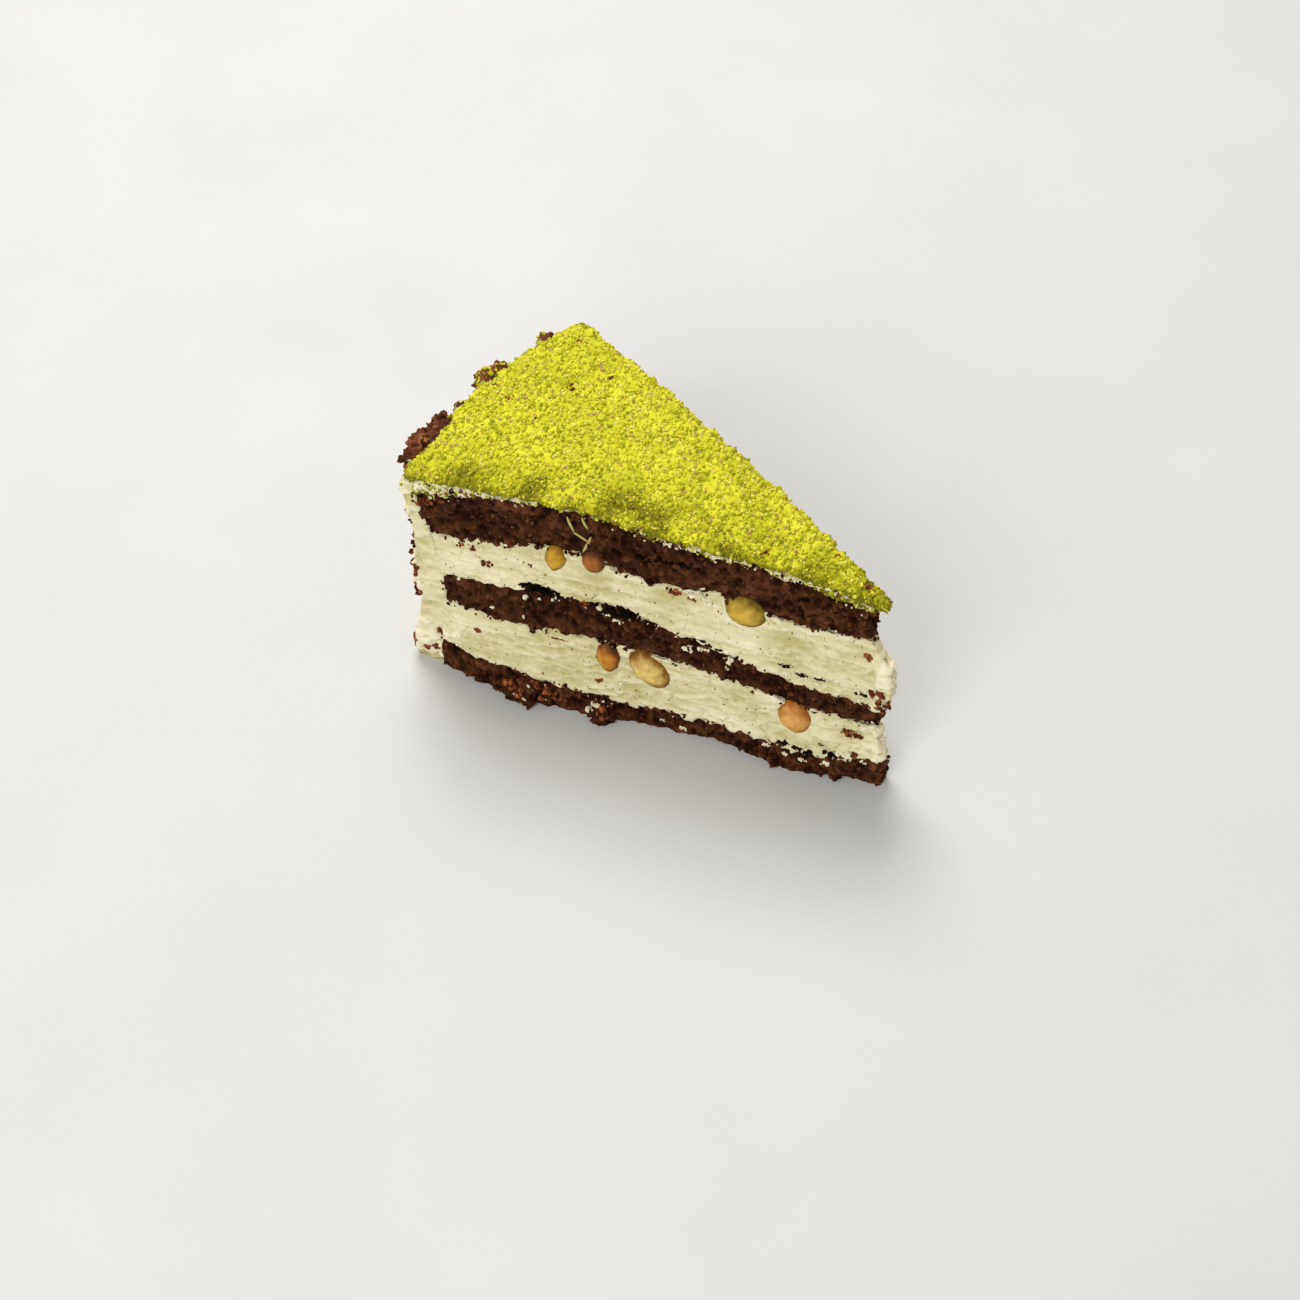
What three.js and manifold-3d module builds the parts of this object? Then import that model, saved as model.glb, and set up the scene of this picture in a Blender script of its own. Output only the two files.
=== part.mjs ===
// A slice of a round layer cake: three chocolate sponges, pistachio cream with whole nuts between
// them, a cream coat with chocolate crumbs on the rim, and a cover of ground pistachio.
// Millimetres, +Z up. X runs along the middle of the slice with the tip at +X, the shown cut faces
// -Y, and the origin is on the underside, halfway between the tip and the rim.

import * as THREE from "three";
import { ImprovedNoise } from "three/addons/math/ImprovedNoise.js";
import { mergeVertices } from "three/addons/utils/BufferGeometryUtils.js";
import Module from "manifold-3d";

const wasm = await Module();
wasm.setup();

const { degToRad, inverseLerp, lerp, seededRandom, smoothstep } = THREE.MathUtils;

// Driving dimensions of the slice
const CAKE_RADIUS = 120;
const SLICE_ANGLE = degToRad(33.1);
const TIP_HALF_WIDTH = 1.3;
const TOPPING_THICKNESS = 1.8;
const TOPPING_OVERHANG = 2.6;
const TOPPING_TIP = 0.6;
const GAP = 0.3;

// How far the ends of two layers bulge out at the tip
const MIDDLE_SPONGE_BULGE = 0.6;
const UPPER_CREAM_BULGE = 4;

// Each level is a surface between two layers. Its heights are those of the shown cut, at even
// stations from the rim to the tip, and far is its mean height on the hidden cut. Rim is its radius
// inside the coat, tip its distance short of the cake's middle, and spread how far its cut edges
// stand out.
const LEVELS = {
  underside: {
    rim: 112, tip: -1.6, spread: 4.8, far: 0,
    heights: [0, 0, 0, 0, 0, 0, 0],
  },
  baseTop: {
    rim: 112, tip: -1.4, spread: 3.8, far: 7,
    heights: [9, 8.2, 6.3, 5.8, 6.2, 6.6, 7.4],
  },
  middleBottom: {
    rim: 110.8, tip: 1.6, spread: 1.2, far: 22,
    heights: [23, 22.4, 24, 23.7, 22.2, 20.2, 19],
  },
  middleTop: {
    rim: 110.8, tip: -0.6, spread: 0.3, far: 31.5,
    heights: [32.3, 34.6, 35.4, 33.6, 30.2, 26.6, 25.5],
  },
  crownBottom: {
    rim: 113, tip: 3.4, spread: 0, far: 48,
    heights: [45, 48.4, 51.6, 47.8, 49.3, 46.3, 47.4],
  },
  crownTop: {
    rim: 116, tip: 4.4, spread: -0.8, far: 61.2,
    heights: [57, 61.6, 63.6, 62.8, 61.3, 59.7, 56.5],
  },
  creamTop: {
    rim: 116, tip: 2, spread: -0.8, far: 63.4,
    heights: [61.5, 62.9, 64.5, 63.9, 62.7, 61.8, 58.6],
  },
};
const FAR_WAVE = 0.4;

// Share of the spread at those stations of the shown cut, and on the hidden one
const NEAR_LEAN = [0.3, 1, 0.95, 0.45, 0.45, 0.8, 0];
const FAR_LEAN = 0.5;

// The coat's outside, as radii at heights from the foot up
const COAT_HEIGHTS = [0, 6, 14, 30, 46, 58];
const COAT_RADII = [121, 120.6, 118.4, 118.2, 117.6, 119];

// Nuts at the cuts: place along the cut from the tip, height, and half sizes along, deep and tall
const NUTS = [
  { name: "nut_upper_rim", face: 0, from: 81, height: 47.6, half: [3.0, 3.6, 4.2], turn: 0.2 },
  { name: "nut_upper_middle", face: 0, from: 71.4, height: 49.4, half: [3.2, 3.4, 3.3], turn: 0 },
  { name: "nut_upper_tip", face: 0, from: 33.8, height: 45.8, half: [5.6, 4.6, 4.6], turn: -0.1 },
  { name: "nut_lower_rim", face: 0, from: 68, height: 19, half: [3.4, 3.8, 5.0], turn: 0.3 },
  { name: "nut_lower_middle", face: 0, from: 57.4, height: 18, half: [5.9, 5.2, 5.8], turn: -0.4 },
  { name: "nut_lower_tip", face: 0, from: 20.2, height: 15.8, half: [4.8, 4.6, 4.9], turn: 0.15 },
  { name: "nut_back_upper_rim", face: 1, from: 90, height: 42, half: [5.4, 4.6, 4.6], turn: 0.3 },
  { name: "nut_back_upper_tip", face: 1, from: 47, height: 44, half: [4.2, 4.2, 5.0], turn: -0.3 },
  { name: "nut_back_lower_rim", face: 1, from: 77, height: 15, half: [5.0, 4.6, 5.4], turn: -0.2 },
  { name: "nut_back_lower_tip", face: 1, from: 38, height: 14.5, half: [4.0, 4.2, 4.8], turn: 0.2 },
];
const NUT_SINK = 0.5;

// Pockets where the upper cream has pulled away from the middle sponge
const POCKETS = [
  { from: 85.5, height: 36.2, half: [5.8, 3, 1.8] },
  { from: 67, height: 35.2, half: [7.4, 3, 2.0] },
];

// Crumbs: at the foot of the shown cut, where out is from the foot's edge, along the top edge of the
// rim, and all over the rim
const FOOT_CRUMBS = [
  { from: 104, out: -1, radius: 2.2 },
  { from: 95.5, out: -1.2, radius: 2.8 },
  { from: 90.8, out: 0.1, radius: 3.2 },
  { from: 86.6, out: 0.2, radius: 3.0 },
  { from: 82.6, out: -0.6, radius: 2.4 },
  { from: 68, out: 0.8, radius: 3.4 },
  { from: 24, out: 0.2, radius: 1.8 },
  { from: 9, out: -0.2, radius: 2.2 },
];
const EDGE_CRUMBS = [
  { across: 0.12, radius: 2.7 },
  { across: 0.19, radius: 3.8 },
  { across: 0.28, radius: 3.0 },
  { across: 0.4, radius: 1.8 },
  { across: 0.57, radius: 2.6 },
  { across: 0.63, radius: 2.0 },
  { across: 0.85, radius: 2.2 },
];
const RIM_CRUMB_COUNT = 40;
const RIM_CRUMB_RADIUS = { smallest: 1.2, largest: 3.0 };
const RIM_CRUMB_HEIGHT = { lowest: 5, highest: 54 };
const RIM_CRUMB_MARGIN = 0.05;

// Shares of a crumb's radius: how high it lies at the foot, how far it stands out of the rim or drops
// below the rim's top edge. Crumbs on the rim are longer across it.
const FOOT_CRUMB_LIFT = 0.8;
const RIM_CRUMB_OUT = 0.3;
const EDGE_CRUMB_OUT = 0.2;
const EDGE_CRUMB_DROP = 0.1;
const RIM_CRUMB_STRETCH = 1.2;

// Relief of the cut faces and of the ground pistachio: depth, and size of one bump
const SPONGE_RELIEF = { depth: 0.9, size: 3.2 };
const CREAM_RELIEF = { depth: 0.45, size: 6 };
const COAT_RELIEF = { depth: 0.8, size: 7 };
const TOPPING_RELIEF = { depth: 0.7, size: 2.3 };
const SPONGE_ROWS = 2;
const CREAM_ROWS = 3;
const TOP_CREAM_ROWS = 1;

const HALF_ANGLE = SLICE_ANGLE / 2;
const TIP_X = CAKE_RADIUS / 2;
const NEAR_CUT = 0;
const FAR_CUT = 1;
const SEED = 27;

const relief = new ImprovedNoise();
seededRandom(SEED);

// Materials
const spongeLook = new THREE.MeshStandardMaterial({ color: 0x3d1e12, roughness: 0.95, metalness: 0 });
const creamLook = new THREE.MeshStandardMaterial({ color: 0xd8cf9e, roughness: 0.6, metalness: 0 });
const toppingLook = new THREE.MeshStandardMaterial({ color: 0xcdc636, roughness: 0.9, metalness: 0 });
const nutLook = new THREE.MeshStandardMaterial({ color: 0xbe8f43, roughness: 0.45, metalness: 0 });

// Signed unevenness of a surface at a point, up to about its depth
function bump(kind, x, y, z) {
  const USUAL_PEAK = 0.62;
  return (kind.depth / USUAL_PEAK) * relief.noise(x / kind.size, y / kind.size, z / kind.size);
}

// Smooth curve through values at the given stations
function curveThrough(stations, values) {
  const interpolant = new THREE.CubicInterpolant(stations, values, 1);
  return (at) => interpolant.evaluate(at)[0];
}

// Smooth curve through values at even stations from the rim to the tip
function curveAlong(values) {
  const stations = values.map((_, index) => index / (values.length - 1));
  return curveThrough(stations, values);
}

for (const level of Object.values(LEVELS)) {
  level.heightAlong = curveAlong(level.heights);
  level.mean = level.heights.reduce((sum, height) => sum + height, 0) / level.heights.length;
}
const leanAlong = curveAlong(NEAR_LEAN);
const coatRadius = curveThrough(COAT_HEIGHTS, COAT_RADII);

// Height of a level: the hidden cut has the same waves the other way round, but flatter
function levelHeight(level, along, across) {
  const far = level.far + FAR_WAVE * (level.heightAlong(1 - along) - level.mean);
  return lerp(level.heightAlong(along), far, across * (1 - along));
}

// A point of a level. Along runs from 0 at the rim to 1 at the tip, and across from 0 at the shown cut
// to 1 at the hidden one.
function levelPoint(level, along, across) {
  const angle = lerp(-HALF_ANGLE, HALF_ANGLE, across);
  const side = 2 * across - 1;
  const point = new THREE.Vector3(TIP_X - level.rim * Math.cos(angle), level.rim * Math.sin(angle), 0);
  point.lerp(new THREE.Vector3(TIP_X - level.tip, side * TIP_HALF_WIDTH, 0), along);
  point.y += side * level.spread * leanAlong(along) * lerp(1, FAR_LEAN, across);
  point.z = levelHeight(level, along, across);
  return point;
}

// A point on a cut face at a height, measured along the cut from the tip and out from the face
function cutPoint(face, from, height, out = 0) {
  const levels = Object.values(LEVELS);
  const points = levels.map((level) => levelPoint(level, inverseLerp(level.rim, level.tip, from), face));
  const above = Math.max(1, points.findIndex((point) => point.z > height));
  const share = inverseLerp(points[above - 1].z, points[above].z, height);
  const point = points[above - 1].clone().lerp(points[above], share);
  const side = 2 * face - 1;
  point.x += out * Math.sin(HALF_ANGLE);
  point.y += side * out * Math.cos(HALF_ANGLE);
  return point;
}

// A box of many cells whose points are moved to where place(along, across, rise) puts them
function bentBox(alongSteps, acrossSteps, riseSteps, place) {
  const geometry = new THREE.BoxGeometry(1, 1, 1, alongSteps, acrossSteps, riseSteps);
  const position = geometry.attributes.position;
  for (let index = 0; index < position.count; index += 1) {
    const along = position.getX(index) + 0.5;
    const across = position.getY(index) + 0.5;
    const rise = position.getZ(index) + 0.5;
    const point = place(along, across, rise);
    position.setXYZ(index, point.x, point.y, point.z);
  }
  return geometry;
}

// Closed geometry to a solid that can be joined and cut, and back again
function toSolid(geometry) {
  const bare = geometry.clone();
  bare.deleteAttribute("normal");
  bare.deleteAttribute("uv");
  const merged = mergeVertices(bare);
  const mesh = new wasm.Mesh({
    numProp: 3,
    vertProperties: new Float32Array(merged.attributes.position.array),
    triVerts: new Uint32Array(merged.index.array),
  });
  return new wasm.Manifold(mesh);
}

function toMesh(name, solid, look) {
  const { vertProperties, triVerts } = solid.getMesh();
  const geometry = new THREE.BufferGeometry();
  geometry.setAttribute("position", new THREE.BufferAttribute(vertProperties, 3));
  geometry.setIndex(new THREE.BufferAttribute(triVerts, 1));
  geometry.computeVertexNormals();
  const mesh = new THREE.Mesh(geometry, look);
  mesh.name = name;
  return mesh;
}

// One layer between two levels, with uneven cut faces and an end that may bulge out at the tip
function layer(lower, upper, uneven, riseSteps, tipBulge = 0) {
  const ALONG_STEPS = 24;
  const ACROSS_STEPS = 4;
  const EVEN_NEAR_RIM = 0.1;
  const geometry = bentBox(ALONG_STEPS, ACROSS_STEPS, riseSteps, (along, across, rise) => {
    const point = levelPoint(lower, along, across).lerp(levelPoint(upper, along, across), rise);
    const floorGap = lower === LEVELS.underside ? 0 : GAP / 2;
    point.z += lerp(floorGap, -GAP / 2, rise);
    const atCut = across === NEAR_CUT || across === FAR_CUT;
    const clearOfRim = smoothstep(along, 0, EVEN_NEAR_RIM);
    if (atCut) {
      point.y += (2 * across - 1) * clearOfRim * bump(uneven, point.x, point.y, point.z);
    }
    if (along === 1) {
      point.x += tipBulge * Math.sin(Math.PI * rise) ** 2;
    }
    return point;
  });
  return toSolid(geometry);
}

// Radius of the coat's uneven outside
function coatSurface(angle, height) {
  return coatRadius(height) + bump(COAT_RELIEF, CAKE_RADIUS * angle, height, 0);
}

// The cream coat round the rim, from the foot to the top of the cream
function rimCoat() {
  const AROUND_STEPS = 14;
  const ROUNDING = 1e-6;
  const levels = Object.values(LEVELS);
  const bands = levels.length - 1;
  const geometry = bentBox(1, AROUND_STEPS, bands, (inward, across, rise) => {
    const band = Math.min(Math.floor(rise * bands + ROUNDING), bands - 1);
    const share = rise * bands - band;
    const angle = lerp(-HALF_ANGLE, HALF_ANGLE, across);
    const lower = levels[band];
    const upper = levels[band + 1];
    const z = lerp(levelHeight(lower, 0, across), levelHeight(upper, 0, across), share);
    const inner = lerp(lower.rim, upper.rim, share) + GAP;
    const radius = lerp(coatSurface(angle, z), inner, inward);
    return new THREE.Vector3(TIP_X - radius * Math.cos(angle), radius * Math.sin(angle), z);
  });
  return toSolid(geometry);
}

// Ground pistachio: a thin cover with a bumpy top and rounded edges
function toppingCover() {
  const ALONG_STEPS = 46;
  const ACROSS_STEPS = 14;
  const EDGE_DROP = 0.8;
  const under = { ...LEVELS.creamTop, rim: LEVELS.creamTop.rim + TOPPING_OVERHANG, tip: TOPPING_TIP };
  const geometry = bentBox(ALONG_STEPS, ACROSS_STEPS, 1, (along, across, rise) => {
    const point = levelPoint(under, along, across);
    const atEdge = across === NEAR_CUT || across === FAR_CUT || along === 0 || along === 1;
    const thickness = TOPPING_THICKNESS - (atEdge ? EDGE_DROP : 0);
    const top = thickness + bump(TOPPING_RELIEF, point.x, point.y, 0);
    point.z += lerp(GAP, top, rise);
    return point;
  });
  return toSolid(geometry);
}

// A lump of crumb: a ball of few faces, pushed in and out, grown where it has to leave a gap
function crumb(centre, radius, stretch = 1, grow = 0) {
  const COARSE_RADIUS = 2.5;
  const CRUMB_KNOBS = 1.7;
  const CRUMB_SWELL = 0.5;
  const geometry = new THREE.IcosahedronGeometry(1, radius > COARSE_RADIUS ? 1 : 0);
  const position = geometry.attributes.position;
  const direction = new THREE.Vector3();
  for (let index = 0; index < position.count; index += 1) {
    direction.fromBufferAttribute(position, index);
    const spot = direction.clone().multiplyScalar(CRUMB_KNOBS).add(centre);
    const swell = 1 + CRUMB_SWELL * relief.noise(spot.x, spot.y, spot.z);
    direction.multiplyScalar(radius * swell + grow);
    position.setXYZ(index, direction.x, direction.y * stretch, direction.z);
  }
  geometry.translate(centre.x, centre.y, centre.z);
  return toSolid(geometry);
}

// Place on the rim at a share of the way across, a height, and a distance out from the coat
function rimPoint(across, height, out) {
  const angle = lerp(-HALF_ANGLE, HALF_ANGLE, across);
  const radius = coatSurface(angle, height) + out;
  return new THREE.Vector3(TIP_X - radius * Math.cos(angle), radius * Math.sin(angle), height);
}

// Nut: a ball with one blunt point, sunk in a cut face
function nut({ face, from, height, half, turn }, grow = 0) {
  const geometry = new THREE.IcosahedronGeometry(1, 1);
  const position = geometry.attributes.position;
  const point = new THREE.Vector3();
  const POINTED = 0.14;
  for (let index = 0; index < position.count; index += 1) {
    point.fromBufferAttribute(position, index);
    const tall = half[2] * (1 + POINTED * Math.max(0, point.z) ** 4);
    position.setXYZ(index, point.x * (half[0] + grow), point.y * (half[1] + grow), point.z * (tall + grow));
  }
  geometry.rotateY(turn);
  geometry.rotateZ((1 - 2 * face) * HALF_ANGLE);
  const centre = cutPoint(face, from, height, -NUT_SINK * half[1]);
  geometry.translate(centre.x, centre.y, centre.z);
  return toSolid(geometry);
}

// Pocket in a cut face: a flat hollow along the cut
function pocket({ from, height, half }) {
  const geometry = new THREE.IcosahedronGeometry(1, 1);
  geometry.scale(...half);
  geometry.rotateZ(HALF_ANGLE);
  const centre = cutPoint(NEAR_CUT, from, height);
  geometry.translate(centre.x, centre.y, centre.z);
  return toSolid(geometry);
}

// Bottom sponge with the crumbs at its foot, flat underneath
function baseSponge() {
  let solid = layer(LEVELS.underside, LEVELS.baseTop, SPONGE_RELIEF, SPONGE_ROWS);
  for (const { from, out, radius } of FOOT_CRUMBS) {
    const centre = cutPoint(NEAR_CUT, from, radius * FOOT_CRUMB_LIFT, out);
    solid = solid.add(crumb(centre, radius));
  }
  const below = new THREE.BoxGeometry(2 * CAKE_RADIUS, CAKE_RADIUS, CAKE_RADIUS);
  below.translate(0, 0, -CAKE_RADIUS / 2);
  return solid.subtract(toSolid(below));
}

// Lumps along the top edge of the rim
function edgeCrumbs(grow = 0) {
  return EDGE_CRUMBS.map(({ across, radius }) => {
    const height = levelHeight(LEVELS.creamTop, 0, across) - EDGE_CRUMB_DROP * radius;
    const centre = rimPoint(across, height, EDGE_CRUMB_OUT * radius);
    return crumb(centre, radius, RIM_CRUMB_STRETCH, grow);
  });
}

// Coat with its crumbs: spread evenly over the rim, the heights and sizes drawn at random
function rimCream() {
  const GOLDEN_SHARE = 0.618034;
  const { lowest, highest } = RIM_CRUMB_HEIGHT;
  const { smallest, largest } = RIM_CRUMB_RADIUS;
  let solid = rimCoat();
  for (let index = 0; index < RIM_CRUMB_COUNT; index += 1) {
    const across = lerp(RIM_CRUMB_MARGIN, 1 - RIM_CRUMB_MARGIN, (index * GOLDEN_SHARE) % 1);
    const height = lerp(lowest, highest, (index + seededRandom()) / RIM_CRUMB_COUNT);
    const radius = lerp(smallest, largest, seededRandom() ** 2);
    const centre = rimPoint(across, height, RIM_CRUMB_OUT * radius);
    solid = solid.add(crumb(centre, radius, RIM_CRUMB_STRETCH));
  }
  return edgeCrumbs().reduce((joined, lump) => joined.add(lump), solid);
}

// Cuts every solid of a list out of a solid
function cutBy(solid, tools) {
  return tools.reduce((rest, tool) => rest.subtract(tool), solid);
}

const nutHollows = NUTS.map((spec) => nut(spec, GAP));
const pockets = POCKETS.map(pocket);
const edgeHollows = edgeCrumbs(GAP);
const { baseTop, middleBottom, middleTop, crownBottom, crownTop, creamTop } = LEVELS;

const wholeLower = layer(baseTop, middleBottom, CREAM_RELIEF, CREAM_ROWS);
const wholeMiddle = layer(middleBottom, middleTop, SPONGE_RELIEF, SPONGE_ROWS, MIDDLE_SPONGE_BULGE);
const wholeUpper = layer(middleTop, crownBottom, CREAM_RELIEF, CREAM_ROWS, UPPER_CREAM_BULGE);
const wholeCrown = layer(crownBottom, crownTop, SPONGE_RELIEF, SPONGE_ROWS);
const wholeTop = layer(crownTop, creamTop, CREAM_RELIEF, TOP_CREAM_ROWS);

const lowerCream = cutBy(wholeLower, nutHollows);
const middleSponge = cutBy(wholeMiddle, nutHollows);
const upperCream = cutBy(wholeUpper, [...nutHollows, ...pockets]);
const topSponge = cutBy(wholeCrown, nutHollows);
const topCream = cutBy(wholeTop, edgeHollows);

const slice = new THREE.Group();
slice.add(toMesh("base_sponge", baseSponge(), spongeLook));
slice.add(toMesh("lower_cream", lowerCream, creamLook));
slice.add(toMesh("middle_sponge", middleSponge, spongeLook));
slice.add(toMesh("upper_cream", upperCream, creamLook));
slice.add(toMesh("top_sponge", topSponge, spongeLook));
slice.add(toMesh("top_cream", topCream, creamLook));
slice.add(toMesh("rim_cream", rimCream(), creamLook));
slice.add(toMesh("pistachio_topping", cutBy(toppingCover(), edgeHollows), toppingLook));
for (const spec of NUTS) {
  slice.add(toMesh(spec.name, nut(spec), nutLook));
}

export default slice;
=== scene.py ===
import math

import bmesh
import bpy
import numpy as np
from mathutils import Matrix, Vector
from mathutils.bvhtree import BVHTree


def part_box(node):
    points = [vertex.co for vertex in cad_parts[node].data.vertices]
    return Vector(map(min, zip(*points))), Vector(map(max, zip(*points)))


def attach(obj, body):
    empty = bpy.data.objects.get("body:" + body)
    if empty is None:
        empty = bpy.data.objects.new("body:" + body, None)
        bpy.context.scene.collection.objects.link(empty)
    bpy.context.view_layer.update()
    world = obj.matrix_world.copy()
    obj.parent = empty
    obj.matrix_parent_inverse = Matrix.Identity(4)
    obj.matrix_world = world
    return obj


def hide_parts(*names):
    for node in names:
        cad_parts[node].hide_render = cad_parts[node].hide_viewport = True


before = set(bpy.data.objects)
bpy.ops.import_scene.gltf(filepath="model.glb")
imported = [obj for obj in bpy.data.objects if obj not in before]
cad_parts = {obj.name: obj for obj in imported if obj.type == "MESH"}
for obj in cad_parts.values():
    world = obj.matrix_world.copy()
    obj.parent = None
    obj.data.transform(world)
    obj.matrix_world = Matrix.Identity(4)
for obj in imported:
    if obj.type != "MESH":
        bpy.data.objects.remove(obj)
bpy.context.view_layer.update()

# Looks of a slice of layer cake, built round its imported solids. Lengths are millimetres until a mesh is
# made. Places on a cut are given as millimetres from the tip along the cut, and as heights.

MM = 0.001

# Each surface draws from a seed of its own, some steps on from the first. All the cream shares one.
SEED = 27
CREAM_SEED = SEED + 50

# Number of cells after which noise repeats
NOISE_CELLS = 48

# The wedge: the middle of the round cake, half of its angle, and the directions of its two cuts
CAKE_MIDDLE = np.array([60.0, 0.0])
HALF_ANGLE = math.radians(33.1 / 2)
NEAR = -1
FAR = 1
SIDES = (NEAR, FAR)
ALONG = {side: np.array([-math.cos(HALF_ANGLE), side * math.sin(HALF_ANGLE)]) for side in SIDES}
OUT = {side: np.array([math.sin(HALF_ANGLE), side * math.cos(HALF_ANGLE)]) for side in SIDES}

# The photograph's camera
LENS = 71.80
SENSOR = 36.0
AZIMUTH = math.radians(38.86)
ELEVATION = math.radians(47.93)
ROLL = math.radians(-2.27)
CAMERA_DISTANCE = 650.71
AIM = Vector((-9.35, 0.47, 0.0))

# Fineness of the meshes: the longest edge on each kind of surface
LAYER_EDGE = 0.64
COAT_EDGE = 0.9
TOPPING_EDGE = 0.7
NUT_EDGE = 0.7

# How far the sponges reach into the cream, the layers into the coat, how wide the band under the coat and
# a ragged edge are, and how ragged a face is that counts as one of the edge
SPONGE_REACH = 1.2
RIM_REACH = 1.0
RIM_BAND = 2.2
RAGGED_BAND = 1.9
EDGE_SHARE = 0.15

# How deep from a cut the layers are made fine, and how steep the normal of a top or bottom face is
SHOWN_DEPTH = 1.4
UPRIGHT = 0.7

# The layers from the foot up: kind, and how far each reaches up and down into its neighbours
LAYERS = {
    "base_sponge": ("sponge", SPONGE_REACH, 0),
    "lower_cream": ("cream", 0, 0),
    "middle_sponge": ("sponge", SPONGE_REACH, SPONGE_REACH),
    "upper_cream": ("cream", 0, 0),
    "top_sponge": ("sponge", 0.3, SPONGE_REACH),
    "top_cream": ("cream", 0, 0),
}

# Pockets between the upper cream and the middle sponge, as they show on the plane of the shown cut:
# place, height, half length and half height, and how deep into the cut they are sought
POCKETS = [(85.2, 35.5, 5.8, 1.6), (66.0, 35.0, 6.2, 1.9)]
POCKET_DEPTH = 5.0

# The coat's outside, as radii at heights from the foot up, the height of its top edge, and how far a crumb
# stands out of it and over it, where its colour begins and where it is full
COAT_HEIGHTS = (0, 6, 14, 30, 46, 58)
COAT_RADII = (121, 120.6, 118.4, 118.2, 117.6, 119)
COAT_TOP = 62.4
CRUMB_PROUD = (0.8, 1.3)
CRUMB_ABOVE = (0, 0.5)

# Places on each surface from which the loose grains of ground nut are drawn
TOP_PLACES = 26000
RIM_PLACES = 1500
BARE_PLACES = 60
HANGING_PLACES = 4000

# Stretches of the shown cut where the top cream is bare of dust: from, to, and the share that is bare. Then
# that share elsewhere on the shown cut, and in patches of the far cut.
BARE_STRETCHES = [(93, 122, 0.65), (38, 56, 0.75), (16, 36, 0.8)]
BARE_ELSEWHERE = 0.05
BARE_PATCHES = 0.5

# How far below the coat's top edge dust lies, and the share of that edge, from the shown cut, that is bare
DUSTED_RIM = 3
BARE_RIM = 0.33

# Small crumbs all over the layers: how many on the face or the ragged edge of each layer of a kind, their
# least and largest radius, and their least and largest tone
STREWN = {
    "sponge_crumbs": ([("sponge", "face", 1100), ("cream", "edge", 260)], (0.18, 0.62), (0.1, 0.85)),
    "cream_crumbs": ([("sponge", "edge", 220), ("cream", "face", 420)], (0.12, 0.42), (0.3, 0.9)),
    "pistachio_bits": ([("cream", "face", 170)], (0.12, 0.32), (0.0, 1.0)),
    "cream_specks": ([("cream", "face", 150)], (0.1, 0.26), (0.4, 1.1)),
}

# Small crumbs all over the coat, and on its larger crumbs
RIM_CRUMBS = 600
LUMP_CRUMBS = 260

# Brown crumbs that lie on the dust: place from above, and how far they spread
DUST_CRUMBS = [
    (-49.8, 0.6, 1.2), (-39.4, -2.2, 1.2), (-39.5, 11.9, 1.2), (-55.2, 2.2, 1.0), (-48.7, 26.6, 0.9),
    (-32.9, 18.9, 0.7), (30.6, -6.0, 1.1), (43.8, 3.2, 0.7), (54.0, 0.6, 0.7),
]

# Details of the shown cut, as they show on its plane: place, height, half length and half height
RED_CRUMBS = [
    (8.2, 13.1, 2.0, 1.2), (5.5, 13, 1.2, 0.9), (6.2, 5.7, 1.8, 1.0), (4.6, 41.4, 1.3, 0.9),
    (103.4, 15.4, 1.2, 1.1), (99.1, 39.9, 1.5, 1.1), (102.6, 44.2, 1.2, 0.8), (105.7, 44.4, 1.0, 0.7),
    (87.9, 43.2, 0.5, 0.5), (71.6, 8.2, 0.9, 0.8), (51.5, 46.9, 1.9, 0.8), (47, 46, 1.1, 0.8),
    (75, 34.8, 1.3, 0.9), (82, 19.4, 2.8, 0.3), (1.5, 29.6, 2.0, 1.4), (0.3, 26.4, 1.7, 1.6),
    (1.0, 24.1, 1.1, 0.9), (95.9, -2.5, 1.5, 1.5), (92.4, -0.1, 1.6, 1.2), (89.2, 0, 1.5, 1.3),
    (86, -1.1, 1.5, 1.3), (83.6, -2.5, 1.4, 1.2), (82, -3, 1.0, 1.0), (93.6, -5.1, 1.4, 1.2),
    (87, -4.9, 1.3, 1.0), (72, -5.5, 1.3, 1.3), (71.1, -2.3, 1.2, 1.3), (118.2, 3.6, 0.9, 0.8),
    (115.6, 4.9, 1.0, 0.9), (116, 54.8, 1.2, 0.8), (113.5, 56, 1.8, 0.8), (110, 57.2, 1.6, 0.7),
]
# Near-black crumbs that are painted shadow, standing in for shadowed gaps between the cream and the sponge
SHADOW_GAP_CRUMBS = [
    (24.3, 31, 2.3, 0.5), (20.2, 29.4, 1.6, 0.5), (15.5, 29.5, 1.6, 0.45), (5.7, 28, 1.6, 0.6),
    (44.9, 32, 1.0, 0.6), (43, 31.2, 1.0, 0.5), (40.4, 30.6, 0.9, 0.45), (24.2, 3.2, 1.8, 0.7),
    (20.9, 2.6, 1.6, 0.6), (12.2, 3.6, 1.8, 0.9), (17.6, 1.6, 1.6, 0.8), (14.9, 6.2, 0.9, 0.4),
    (58.7, 55.1, 2.6, 0.9), (54.2, 56.1, 2.6, 0.9), (49, 56.3, 2.0, 0.7), (20, 55, 1.6, 0.7),
]
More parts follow.
